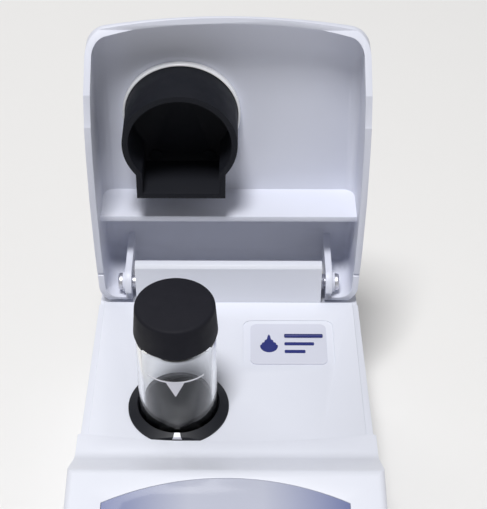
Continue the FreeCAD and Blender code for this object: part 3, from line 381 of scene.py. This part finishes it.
@dataclass(frozen=True)
class Palette:
    """All the finishes, made once."""

    housing: bpy.types.Material
    lid: bpy.types.Material
    collar: bpy.types.Material
    seal: bpy.types.Material
    black: bpy.types.Material
    well: bpy.types.Material
    cap: bpy.types.Material
    label: bpy.types.Material
    glass: bpy.types.Material
    lens: bpy.types.Material
    pane: bpy.types.Material
    liner: bpy.types.Material
    print_white: bpy.types.Material
    print_navy: bpy.types.Material
    window: bpy.types.Material
    screen: bpy.types.Material
    segment: bpy.types.Material
    key: bpy.types.Material
    legend: bpy.types.Material
    tray: bpy.types.Material
    wrap: bpy.types.Material
    steel: bpy.types.Material
    board: bpy.types.Material
    diode: bpy.types.Material
    foot: bpy.types.Material

    @classmethod
    def mix(cls) -> "Palette":
        """Builds every finish of the instrument.

        Returns:
            The palette with all its materials.
        """
        return cls(
            housing=Moulded("housing_white", (0.745, 0.765, 0.845), 0.42).make(),
            lid=Moulded("lid_white", (0.70, 0.72, 0.815), 0.40).make(),
            collar=Moulded("collar_white", (0.86, 0.87, 0.89), 0.30, grain_depth=0.05).make(),
            seal=Moulded("seal_grey", (0.30, 0.31, 0.34), 0.6).make(),
            black=Moulded("shield_black", (0.0090, 0.0100, 0.0145), 0.60, 1800.0, 0.25,
                          mottle=0.08, specular=0.18).make(),
            well=Moulded("well_black", (0.0095, 0.0105, 0.0150), 0.50, 1800.0, 0.25,
                         mottle=0.08, specular=0.3).make(),
            cap=Moulded("cap_black", (0.0090, 0.0092, 0.0145), 0.66, 2200.0, 0.35,
                        mottle=0.08, specular=0.2).make(),
            label=Moulded("label_film", (0.64, 0.655, 0.745), 0.34, 1200.0, 0.01, mottle=0.006).make(),
            glass=Clear("vial_glass", (0.985, 0.992, 0.99), 1.49, ripple=0.02).make(),
            lens=Clear("lens_glass", (0.97, 0.98, 1.0), 1.52, ripple=0.01).make(),
            pane=Clear("window_pane", (0.90, 0.93, 0.97), 1.49, ripple=0.01).make(),
            liner=Moulded("liner_white", (0.78, 0.78, 0.75), 0.5).make(),
            print_white=Moulded("print_white", (0.80, 0.80, 0.86), 0.45, grain_depth=0.02).make(),
            print_navy=Moulded("print_navy", (0.012, 0.02, 0.16), 0.35, grain_depth=0.02).make(),
            # the window's tint, darkened towards its sides by painted shade
            window=TintWithPaintedShade("window_tint_painted_shade", (0.50, 0.52, 0.62), (0.17, 0.20, 0.38), 0.036).make(),
            screen=Moulded("screen_grey", (0.33, 0.38, 0.33), 0.25, 1500.0, 0.02).make(),
            segment=Moulded("segment_dark", (0.02, 0.025, 0.03), 0.4, grain_depth=0.02).make(),
            key=Moulded("key_slate", (0.13, 0.17, 0.28), 0.52, 2000.0, 0.2, mottle=0.04).make(),
            legend=Moulded("legend_white", (0.86, 0.87, 0.9), 0.45, grain_depth=0.03).make(),
            tray=Moulded("tray_black", (0.03, 0.03, 0.034), 0.5).make(),
            wrap=Moulded("cell_wrap", (0.06, 0.085, 0.13), 0.3, 800.0, 0.03).make(),
            steel=Metal("plated_steel", (0.74, 0.74, 0.78), 0.42).make(),
            board=Circuit("circuit_green", (0.012, 0.10, 0.045)).make(),
            diode=Moulded("diode_epoxy", (0.05, 0.05, 0.055), 0.2, 900.0, 0.02).make(),
            foot=Moulded("foot_rubber", (0.025, 0.025, 0.027), 0.75, 1500.0, 0.5).make(),
        )


# ---------------------------------------------------------------- modelling helpers


def deselect() -> None:
    """Leaves nothing selected and nothing in edit mode."""
    if bpy.context.object and bpy.context.object.mode != "OBJECT":
        bpy.ops.object.mode_set(mode="OBJECT")
    bpy.ops.object.select_all(action="DESELECT")


def pick(thing: bpy.types.Object) -> None:
    """Selects one object and makes it active."""
    deselect()
    thing.select_set(True)
    bpy.context.view_layer.objects.active = thing


def settle(thing: bpy.types.Object) -> None:
    """Moves an object's place, turn and scale into its mesh."""
    pick(thing)
    bpy.ops.object.transform_apply(location=True, rotation=True, scale=True)


def apply_modifiers(thing: bpy.types.Object) -> None:
    """Applies every modifier of an object, in order."""
    pick(thing)
    for modifier in list(thing.modifiers):
        bpy.ops.object.modifier_apply(modifier=modifier.name)


def smooth(thing: bpy.types.Object, degrees: float = 32.0) -> None:
    """Shades an object smooth up to an angle between faces."""
    pick(thing)
    bpy.ops.object.shade_smooth_by_angle(angle=math.radians(degrees))


def paint(thing: bpy.types.Object, material: bpy.types.Material) -> bpy.types.Object:
    """Gives an object one material.

    Args:
        thing: The object.
        material: Its only material from now on.

    Returns:
        The same object.
    """
    thing.data.materials.clear()
    thing.data.materials.append(material)
    return thing


def rounded(thing: bpy.types.Object, width: float, segments: int, degrees: float) -> None:
    """Rounds an object's sharp edges.

    Args:
        thing: A closed mesh.
        width: Radius in metres.
        segments: Faces across the rounding.
        degrees: Edges that turn more than this are rounded.
    """
    bevel = thing.modifiers.new("rounding", "BEVEL")
    bevel.width = width
    bevel.segments = segments
    bevel.limit_method = "ANGLE"
    bevel.angle_limit = math.radians(degrees)
    bevel.use_clamp_overlap = True
    apply_modifiers(thing)


def turned(name: str, profile: Outline, centre: Point = (0.0, 0.0, 0.0),
           steps: int = 96) -> bpy.types.Object:
    """Turns a profile on a lathe.

    Args:
        name: The piece's name.
        profile: (radius, height) points in millimetres, from the axis back to the axis or closed.
        centre: The profile's origin in metres.
        steps: Faces round the axis.

    Returns:
        The finished object, with its place in its mesh.
    """
    deselect()
    bpy.ops.mesh.primitive_plane_add(size=MM)
    thing = bpy.context.object
    thing.name = name
    bpy.ops.object.mode_set(mode="EDIT")
    bpy.ops.mesh.select_mode(type="VERT")
    bpy.ops.mesh.select_all(action="SELECT")
    bpy.ops.mesh.merge(type="CENTER")
    first = Vector((profile[0][0] * MM, 0.0, profile[0][1] * MM))
    bpy.ops.transform.translate(value=first)
    for (r0, z0), (r1, z1) in zip(profile, profile[1:]):
        step = ((r1 - r0) * MM, 0.0, (z1 - z0) * MM)
        bpy.ops.mesh.extrude_region_move(TRANSFORM_OT_translate={"value": step})
    bpy.ops.mesh.select_all(action="SELECT")
    bpy.ops.mesh.spin(steps=steps, angle=2 * math.pi, center=(0, 0, 0), axis=(0, 0, 1))
    bpy.ops.mesh.select_all(action="SELECT")
    bpy.ops.mesh.remove_doubles(threshold=MERGE / 2)
    bpy.ops.mesh.normals_make_consistent(inside=False)
    bpy.ops.object.mode_set(mode="OBJECT")
    thing.location = centre
    settle(thing)
    return thing


def stood(thing: bpy.types.Object, name: str, size: Point) -> None:
    """Stands a small centred primitive on z = 0 and stretches it.

    Args:
        thing: A primitive a millimetre across, round the origin.
        name: Its name.
        size: Millimetres along x, y and z.
    """
    thing.name = name
    bpy.ops.object.mode_set(mode="EDIT")
    bpy.ops.mesh.select_all(action="SELECT")
    bpy.ops.transform.translate(value=(0.0, 0.0, MM / 2))
    bpy.ops.transform.resize(value=size, center_override=(0.0, 0.0, 0.0))
    bpy.ops.object.mode_set(mode="OBJECT")


def laid(thing: bpy.types.Object, x: float, y: float, turn: float) -> bpy.types.Object:
    """Turns an object about z and moves it, both in its mesh.

    Args:
        thing: The object.
        x: Millimetres along x.
        y: Millimetres along y.
        turn: Degrees about z.

    Returns:
        The same object.
    """
    thing.rotation_euler = (0.0, 0.0, math.radians(turn))
    thing.location = (x * MM, y * MM, 0.0)
    settle(thing)
    return thing


def plate(name: str, width: float, depth: float, height: float, corner: float = 0.0,
          x: float = 0.0, y: float = 0.0, turn: float = 0.0, sides: int = 5) -> bpy.types.Object:
    """A flat plate that stands on z = 0, with its upright edges rounded.

    Args:
        name: The piece's name.
        width: Millimetres along x before it is turned.
        depth: Millimetres along y before it is turned.
        height: Millimetres along z.
        corner: Radius of the upright edges in millimetres.
        x: Middle of the plate in millimetres.
        y: Middle of the plate in millimetres.
        turn: Degrees about z.
        sides: Faces across each rounded corner.

    Returns:
        The finished plate.
    """
    deselect()
    bpy.ops.mesh.primitive_cube_add(size=MM, location=(0.0, 0.0, 0.0))
    thing = bpy.context.object
    stood(thing, name, (width, depth, height))
    if corner:
        bpy.ops.object.mode_set(mode="EDIT")
        bpy.ops.mesh.select_all(action="DESELECT")
        bpy.ops.object.mode_set(mode="OBJECT")
        for edge in thing.data.edges:
            first, last = (thing.data.vertices[i].co for i in edge.vertices)
            edge.select = abs(first.z - last.z) > height * MM / 2
        bpy.ops.object.mode_set(mode="EDIT")
        bpy.ops.mesh.select_mode(type="EDGE")
        bpy.ops.mesh.bevel(offset=corner * MM, segments=sides)
        bpy.ops.object.mode_set(mode="OBJECT")
    return laid(thing, x, y, turn)


def arrow(name: str, width: float, depth: float, height: float, x: float, y: float,
          turn: float) -> bpy.types.Object:
    """A solid triangle that points along y before it is turned.

    Args:
        name: The piece's name.
        width: Millimetres along x before it is turned.
        depth: Millimetres along y before it is turned.
        height: Millimetres along z.
        x: Middle in millimetres.
        y: Middle in millimetres.
        turn: Degrees about z.

    Returns:
        The finished triangle.
    """
    deselect()
    bpy.ops.mesh.primitive_cylinder_add(vertices=3, radius=MM / 2, depth=MM)
    thing = bpy.context.object
    stood(thing, name, (width, depth, height))
    return laid(thing, x, y, turn)


def joined(name: str, parts: Sequence[bpy.types.Object]) -> bpy.types.Object:
    """Joins objects into one piece.

    Args:
        name: The piece's name.
        parts: The objects; the first takes in the others.

    Returns:
        The joined piece.
    """
    deselect()
    for part in parts:
        part.select_set(True)
    bpy.context.view_layer.objects.active = parts[0]
    bpy.ops.object.join()
    parts[0].name = name
    return parts[0]


def put(thing: bpy.types.Object, place: Vector, tilt: float = 0.0) -> bpy.types.Object:
    """Tilts a finished object about x and moves it, both in its mesh.

    Args:
        thing: The object.
        place: Where its origin goes, in metres.
        tilt: Radians about x.

    Returns:
        The same object.
    """
    thing.rotation_euler = (tilt, 0.0, 0.0)
    thing.location = place
    settle(thing)
    return thing


def arc_points(centre: tuple[float, float], radius: float, start: float, stop: float,
               count: int) -> Outline:
    """Points of a rounded corner of a profile.

    Args:
        centre: Middle of the rounding.
        radius: Its radius.
        start: Angle of the first point in degrees.
        stop: Angle of the last point in degrees.
        count: Steps between them.

    Returns:
        The points from start to stop.
    """
    return [(centre[0] + radius * math.cos(math.radians(start + (stop - start) * i / count)),
             centre[1] + radius * math.sin(math.radians(start + (stop - start) * i / count)))
            for i in range(count + 1)]


def carved(thing: bpy.types.Object, cutter: bpy.types.Object, operation: str) -> None:
    """Cuts an object with another, shades it and removes the cutter.

    Args:
        thing: The object that is cut.
        cutter: The tool; it is gone afterwards.
        operation: DIFFERENCE or INTERSECT.
    """
    cut = thing.modifiers.new("cut", "BOOLEAN")
    cut.object = cutter
    cut.operation = operation
    apply_modifiers(thing)
    smooth(thing)
    bpy.data.objects.remove(cutter)


def refined(node: str, width: float) -> bpy.types.Object:
    """Copies a CAD node, merges its triangles into clean faces and softens its edges.

    Args:
        node: The CAD node's name.
        width: Edge radius in metres; nought leaves the edges sharp.

    Returns:
        The copy, which rides on the node's body and stands for it.
    """
    source = frame["nodes"][node]
    thing = bpy.data.objects.new(f"{node}_skin", source.data.copy())
    bpy.context.scene.collection.objects.link(thing)
    pick(thing)
    bpy.ops.object.mode_set(mode="EDIT")
    bpy.ops.mesh.select_all(action="SELECT")
    bpy.ops.mesh.remove_doubles(threshold=MERGE)
    bpy.ops.mesh.dissolve_limited(angle_limit=math.radians(0.6))
    bpy.ops.object.mode_set(mode="OBJECT")
    if width:
        rounded(thing, width, segments=2, degrees=28.0)
    smooth(thing)
    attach(thing, source["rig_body"])
    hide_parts(node)
    return thing


# ---------------------------------------------------------------- the instrument


@dataclass
class Shells:
    """The white mouldings of the housing: upper and lower shell and the battery door."""

    finish: Palette
    edge: float = 0.35 * MM
    fine_edge: float = 0.2 * MM

    def build(self) -> None:
        """Softens the mouldings and dresses them."""
        for node in ("upper_shell", "lower_shell", "battery_door"):
            skin = refined(node, self.edge if node != "battery_door" else self.fine_edge)
            paint(skin, self.finish.housing)
            LOG.info("%s: moulded skin with %d faces", node, len(skin.data.polygons))


@dataclass
class Lid:
    """The hinged lid with its collar and the black light shield."""

    finish: Palette
    edge: float = 0.35 * MM
    fine_edge: float = 0.25 * MM

    def build(self) -> None:
        """Softens the lid's edges and dresses its pieces."""
        for node, material in (("lid_shell", self.finish.lid), ("light_shield", self.finish.black),
                               ("shield_collar", self.finish.collar)):
            skin = refined(node, self.edge if node == "lid_shell" else self.fine_edge)
            paint(skin, material)
            LOG.info("%s: skin with %d faces", node, len(skin.data.polygons))


@dataclass
class Vial:
    """Empty glass vial with its printed fill line, and its screw cap; lengths in millimetres."""

    finish: Palette
    glass_radius: float = 12.5
    bore: float = 10.9
    floor: float = 1.8
    seat: float = 54.8
    mouth_height: float = 63.2
    foot_round: float = 1.5
    shoulder_round: float = 1.6
    neck: float = 10.0
    mouth_bore: float = 8.6
    lip: float = 0.4
    cap_skirt: float = 13.0
    cap_radius: float = 12.35
    cap_height: float = 10.9
    cap_bore: float = 10.3
    cap_wall: float = 1.2
    crown_round: float = 1.15
    shading_angle: float = 40.0
    arc_reach: float = 0.4
    line_width: float = 17.4
    line_trim: float = 0.45
    line_reach: float = 9.0
    steps: int = 128

    def foot(self) -> Point:
        """The middle of the vial's foot."""
        low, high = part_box("vial_glass")
        return ((low.x + high.x) / 2, (low.y + high.y) / 2, low.z)

    def build(self) -> None:
        """Builds the vial's pieces."""
        foot = self.foot()
        glass = turned("vial_glass_clear", self.glass_profile(), foot, steps=self.steps)
        cap = turned("vial_cap_moulded", self.cap_profile(), (foot[0], foot[1], foot[2] + self.seat * MM),
                     steps=self.steps)
        for piece, node, body, material in (
                (glass, "vial_glass", "vial", self.finish.glass),
                (cap, "vial_cap", "vial_lid", self.finish.cap)):
            smooth(piece, self.shading_angle)
            paint(piece, material)
            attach(piece, body)
            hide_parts(node)
            LOG.info("%s: %d faces on %s", piece.name, len(piece.data.polygons), body)
        self.fill_mark()

    def fill_mark(self) -> None:
        """Keeps the front arc of the printed fill line, thinned, and the triangle under it."""
        low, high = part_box("vial_mark")
        mark = refined("vial_mark", 0.0)
        cutter = plate("mark_cutter", self.line_width, self.glass_radius, self.line_reach)
        put(cutter, Vector(((low.x + high.x) / 2, low.y + self.arc_reach * self.glass_radius * MM,
                            high.z - (self.line_reach + self.line_trim) * MM)))
        carved(mark, cutter, "INTERSECT")
        paint(mark, self.finish.print_white)
        LOG.info("%s: %d faces", mark.name, len(mark.data.polygons))

    def glass_profile(self) -> Outline:
        """Outline of the glass.

        Returns:
            Points from the middle of its foot over the mouth to the middle of its floor.
        """
        r, b, f, seat, mouth = self.glass_radius, self.bore, self.floor, self.seat, self.mouth_height
        toe, bend, lip, neck, throat = (self.foot_round, self.shoulder_round, self.lip, self.neck,
                                        self.mouth_bore)
        outer = [(0.0, 0.5), (r - 4.0, 0.25)] + arc_points((r - toe, toe), toe, -90, 0, 6)
        shoulder = arc_points((r - bend, seat - 1.9), bend, 0, 80, 6)
        rim = [(neck, seat - 0.1), (neck, mouth - lip), (neck - lip, mouth), (throat + lip, mouth),
               (throat, mouth - lip), (throat, seat - 0.8)]
        inner = arc_points((b - bend, seat - 2.9), bend, 70, 0, 5)
        base = arc_points((b - bend, f + bend), bend, 0, -90, 6)
        return outer + shoulder + rim + inner + base + [(0.0, f)]

    def cap_profile(self) -> Outline:
        """Outline of the screw cap, open underneath.

        Returns:
            Points from the middle of its inner face over the skirt to the middle of its top.
        """
        r, h, bore, skirt = self.cap_radius, self.cap_height, self.cap_bore, self.cap_skirt
        wall, bend = self.cap_wall, self.crown_round
        hem = [(bore, 0.0), (skirt - 0.35, 0.0), (skirt - 0.08, 0.12), (skirt, 0.4)]
        crown = arc_points((r - bend, h - bend), bend, 0, 90, 7)
        return [(0.0, h - wall), (bore, h - wall)] + hem + crown + [(0.0, h - 0.05)]


@dataclass
class Panel:
    """Sloping front panel: display behind its window, and the keys' signs; in millimetres."""

    finish: Palette
    slope: float = math.radians(6.5276)
    window_setback: float = 2.4
    view_y: float = -25.5
    view_width: float = 50.0
    view_depth: float = 24.0
    view_corner: float = 1.5
    window_wall: float = 1.2
    cutter_height: float = 4.0
    cutter_foot: float = -2.5
    module_top: float = -1.6
    key_top: float = 1.2
    key_rows: tuple[float, float] = (-62.0, -79.0)
    key_columns: tuple[float, ...] = (-26.25, -8.75, 8.75, 26.25)
    film: float = 0.04
    reading: str = "0.52"
    digit_pitch: float = 9.2
    digit_half: float = 4.4
    segment: float = 0.95
    stroke_gap: float = 0.6
    stroke_corner: float = 0.3
    point_corner: float = 0.2
    rule_width: float = 0.35
    rule_corner: float = 0.1
    rule_inset: float = 8.0
    rule_y: float = 8.2
    ring_steps: int = 40
    bar_corner: float = 0.12
    border_edge: float = 0.15 * MM

    def at(self, x: float, y: float, lift: float) -> Vector:
        """A point of the panel.

        Args:
            x: Millimetres across the panel.
            y: Millimetres from the crest, along the slope.
            lift: Millimetres over the surface.

        Returns:
            The point in metres.
        """
        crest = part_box("display_window")[1]
        back = y + self.window_setback
        return Vector((x * MM,
                       crest.y + (back * math.cos(self.slope) - lift * math.sin(self.slope)) * MM,
                       crest.z + (back * math.sin(self.slope) + lift * math.cos(self.slope)) * MM))

    def build(self) -> None:
        """Builds the window, the display and the signs."""
        self.window()
        self.display()
        signs = (Glyph.POWER, Glyph.LEFT, Glyph.UP, Glyph.RIGHT,
                 Glyph.SAMPLE, Glyph.DOWN, Glyph.PLUS, Glyph.ENTER)
        for index, sign in enumerate(signs):
            self.sign(index, sign)

    def window(self) -> None:
        """Cuts the printed border open over the display and sets a clear pane in it."""
        border = refined("display_window", self.border_edge)
        border.name = "display_window_border"
        cutter = plate("window_cutter", self.view_width, self.view_depth, self.cutter_height,
                       self.view_corner)
        put(cutter, self.at(0.0, self.view_y, self.cutter_foot), self.slope)
        carved(border, cutter, "DIFFERENCE")
        paint(border, self.finish.window)
        pane = plate("display_window_pane", self.view_width, self.view_depth, self.window_wall,
                     self.view_corner)
        put(pane, self.at(0.0, self.view_y, -self.window_wall), self.slope)
        paint(pane, self.finish.pane)
        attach(pane, "housing")
        LOG.info("display_window: border and pane")

    def display(self) -> None:
        """Sets the reading between two rules on the display's face."""
        parts, x = [], -self.digit_pitch * (sum(c != "." for c in self.reading) - 1) / 2
        for sign in self.reading:
            if sign == ".":
                parts.append(plate("point", self.segment, self.segment, self.film, self.point_corner,
                                   x - self.digit_pitch / 2, -self.digit_half))
                continue
            for key in DIGITS[sign]:
                across, up = STROKES[key]
                long = self.digit_half - self.segment * self.stroke_gap
                width, depth = (long, self.segment) if key in LEVEL_STROKES else (self.segment, long)
                parts.append(plate("stroke", width, depth, self.film, self.stroke_corner,
                                   x + across * self.digit_half, up * self.digit_half, sides=3))
            x += self.digit_pitch
        for side in (-1, 1):
            parts.append(plate("rule", self.view_width - self.rule_inset, self.rule_width, self.film,
                               self.rule_corner, 0.0, side * self.rule_y))
        reading = joined("display_reading", parts)
        put(reading, self.at(0.0, self.view_y, self.module_top), self.slope)
        paint(reading, self.finish.segment)
        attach(reading, "housing")
        LOG.info("%s: %d faces", reading.name, len(reading.data.polygons))

    def sign(self, index: int, sign: Glyph) -> None:
        """Prints one sign on one key.

        Args:
            index: The key's number, from nought at the rear left.
            sign: Which sign it carries.
        """
        parts = []
        for kind, x, y, width, height, turn in sign.value:
            if kind == "ring":
                inner, outer = width / 2 - height, width / 2
                rim = turned("ring", [(inner, 0.0), (outer, 0.0), (outer, self.film),
                                      (inner, self.film), (inner, 0.0)], steps=self.ring_steps)
                parts.append(put(rim, Vector((x * MM, y * MM, 0.0))))
            elif kind == "bar":
                parts.append(plate("bar", width, height, self.film, self.bar_corner, x, y, turn, 2))
            else:
                parts.append(arrow("arrow", width, height, self.film, x, y, turn))
        piece = joined(f"key_sign_{index + 1}", parts)
        row, column = divmod(index, len(self.key_columns))
        put(piece, self.at(self.key_columns[column], self.key_rows[row], self.key_top), self.slope)
        paint(piece, self.finish.legend)
        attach(piece, f"key_{index + 1}_body")
        LOG.info("%s: %s", piece.name, sign.name.lower())


@dataclass
class Label:
    """Generic print on the deck's label, a drop and three bars; lengths in millimetres."""

    finish: Palette
    film: float = 0.04
    drop_radius: float = 3.0
    drop_x: float = -6.6
    drop_steps: tuple[Point, ...] = ((0.1, 0.84, 1.35), (0.6, 0.7, 1.35), (1.0, 0.55, 1.4))
    bars: tuple[float, ...] = (13.0, 10.0, 7.0)
    bar_left: float = -1.4
    bar_pitch: float = 3.6
    bar_height: float = 1.5
    bar_corner: float = 0.4

    def build(self) -> None:
        """Builds the print as one piece on the label's face."""
        low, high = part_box("label_plate")
        parts = [self.drop()]
        for index, width in enumerate(self.bars):
            parts.append(plate("bar", width, self.bar_height, self.film, self.bar_corner,
                               self.bar_left + width / 2, (1 - index) * self.bar_pitch))
        art = joined("label_print", parts)
        put(art, Vector(((low.x + high.x) / 2, (low.y + high.y) / 2, high.z)))
        paint(art, self.finish.print_navy)
        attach(art, "housing")
        LOG.info("%s: %d faces", art.name, len(art.data.polygons))

    def drop(self) -> bpy.types.Object:
        """A drop: a disc whose top is drawn out to a point, a step at a time.

        Each step of drop_steps is a level in radii over the middle, then how much narrower and
        taller everything over it becomes.

        Returns:
            The drop, which stands on z = 0.
        """
        deselect()
        radius = self.drop_radius * MM
        centre = -radius / 3
        bpy.ops.mesh.primitive_cylinder_add(vertices=64, radius=radius, depth=self.film * MM,
                                            location=(self.drop_x * MM, centre, self.film * MM / 2))
        thing = bpy.context.object
        settle(thing)
        for level, narrow, rise in self.drop_steps:
            bpy.ops.object.mode_set(mode="EDIT")
            bpy.ops.mesh.select_all(action="DESELECT")
            bpy.ops.object.mode_set(mode="OBJECT")
            for vertex in thing.data.vertices:
                vertex.select = vertex.co.y - centre > level * radius
            bpy.ops.object.mode_set(mode="EDIT")
            bpy.ops.mesh.select_mode(type="VERT")
            bpy.ops.transform.resize(value=(narrow, rise, 1.0),
                                     center_override=(self.drop_x * MM, centre + level * radius, 0.0))
            bpy.ops.object.mode_set(mode="OBJECT")
        return thing


def dress_plain_nodes(finish: Palette) -> None:
    """Gives every CAD node that still shows its finish.

    Args:
        finish: The palette; the table's keys are its fields.
    """
    table: dict[str, Iterable[str]] = {
        "seal": ("shell_gasket", "port_cover"),
        "label": ("label_plate",),
        "well": ("cell_well", "well_seal", "optics_block"),
        "print_white": ("well_index_mark",),
        "lens": ("source_lens",),
        "diode": ("source_led", "transmit_detector", "scatter_detector"),
        "board": ("optics_board", "main_board"),
        "screen": ("display_module",),
        "key": ("keypad_mat", *(f"key_{i}" for i in range(1, 9))),
        "tray": ("battery_tray", "data_port"),
        "wrap": tuple(f"battery_cell_{i}" for i in range(1, 5)),
        "black": ("shield_screw_left", "shield_screw_right"),
        "steel": ("battery_contact_rear", "battery_contact_front", "hinge_pin_left",
                  "hinge_pin_right", "hinge_spring",
                  *(f"case_screw_{i}" for i in range(1, 5))),
        "liner": ("cap_liner",),
        "foot": tuple(f"foot_{i}" for i in range(1, 5)),
    }
    for key, nodes in table.items():
        for node in nodes:
            paint(frame["nodes"][node], getattr(finish, key))
            LOG.info("%s: %s", node, key)


# ---------------------------------------------------------------- studio


@dataclass(frozen=True)
class SoftBox:
    """A square light that faces the instrument; metres and watts."""

    name: str
    place: Point
    size: float
    power: float
    aim: Point = (0.0, 0.0, 0.06)

    def hang(self) -> None:
        """Hangs the light and turns it to its aim."""
        light = bpy.data.lights.new(self.name, "AREA")
        light.shape = "SQUARE"
        light.size = self.size
        light.energy = self.power
        lamp = bpy.data.objects.new(self.name, light)
        lamp.location = self.place
        lamp.rotation_mode = "QUATERNION"
        lamp.rotation_quaternion = (Vector(self.aim) - Vector(self.place)).to_track_quat("-Z", "Y")
        bpy.context.scene.collection.objects.link(lamp)


@dataclass
class Studio:
    """Pale floor, soft lights and the camera over the front of the instrument."""

    focal_length: float = 100.95
    camera_at: Point = (0.004364, -0.278204, 0.392548)
    yaw: float = 0.00203
    pitch: float = 0.72913
    roll: float = 0.00407
    sensor: float = 36.0
    near: float = 0.01
    far: float = 10.0
    floor_colour: Colour = (0.80, 0.793, 0.785)
    floor_size: float = 6.0
    room_colour: Colour = (1.0, 0.995, 0.99)
    room_strength: float = 0.22
    boxes: tuple[SoftBox, ...] = (
        SoftBox("key_box", (-0.16, -0.40, 1.90), 0.42, 30.0, (0.0, 0.02, 0.06)),
        SoftBox("fill_box", (0.70, -0.50, 0.60), 0.6, 0.4),
        SoftBox("rear_box", (-0.40, 1.10, 0.90), 0.7, 3.0))

    def build(self) -> None:
        """Sets the stage."""
        bpy.context.scene.view_settings.view_transform = "Standard"
        self.floor()
        self.lights()
        self.camera()

    def floor(self) -> None:
        """A wide pale sheet under the instrument."""
        deselect()
        bpy.ops.mesh.primitive_plane_add(size=self.floor_size, location=(0.0, 0.0, 0.0))
        sheet = bpy.context.object
        sheet.name = "table_sheet"
        settle(sheet)
        paint(sheet, Moulded("table_paper", self.floor_colour, 0.8, 300.0, 0.02, mottle=0.004,
                             specular=0.1).make())

    def lights(self) -> None:
        """Soft boxes above, at the side and behind, in a dim even room."""
        world = bpy.data.worlds.new("soft_room")
        bpy.context.scene.world = world
        world.use_nodes = True
        background = world.node_tree.nodes["Background"]
        background.inputs["Color"].default_value = (*self.room_colour, 1.0)
        background.inputs["Strength"].default_value = self.room_strength
        for box in self.boxes:
            box.hang()

    def camera(self) -> None:
        """The camera, looking down over the keys into the open lid."""
        forward = Vector((math.sin(self.yaw), math.cos(self.yaw), 0.0))
        right = Vector((math.cos(self.yaw), -math.sin(self.yaw), 0.0))
        up = Vector((0.0, 0.0, 1.0))
        ahead = forward * math.cos(self.pitch) - up * math.sin(self.pitch)
        above = up * math.cos(self.pitch) + forward * math.sin(self.pitch)
        level = right * math.cos(self.roll) + above * math.sin(self.roll)
        crown = above * math.cos(self.roll) - right * math.sin(self.roll)
        camera = bpy.data.objects.new("camera", bpy.data.cameras.new("camera"))
        camera.data.lens = self.focal_length
        camera.data.sensor_width = self.sensor
        camera.data.clip_start = self.near
        camera.data.clip_end = self.far
        turn = Matrix((level, crown, -ahead)).transposed()
        camera.matrix_world = Matrix.Translation(self.camera_at) @ turn.to_4x4()
        bpy.context.scene.collection.objects.link(camera)
        bpy.context.scene.camera = camera


def main() -> None:
    """Builds the instrument's looks and the studio."""
    finish = Palette.mix()
    dress_plain_nodes(finish)
    for assembly in (Shells(finish), Lid(finish), Vial(finish), Panel(finish), Label(finish)):
        assembly.build()
    Studio().build()


if __name__ == "__main__":
    main()
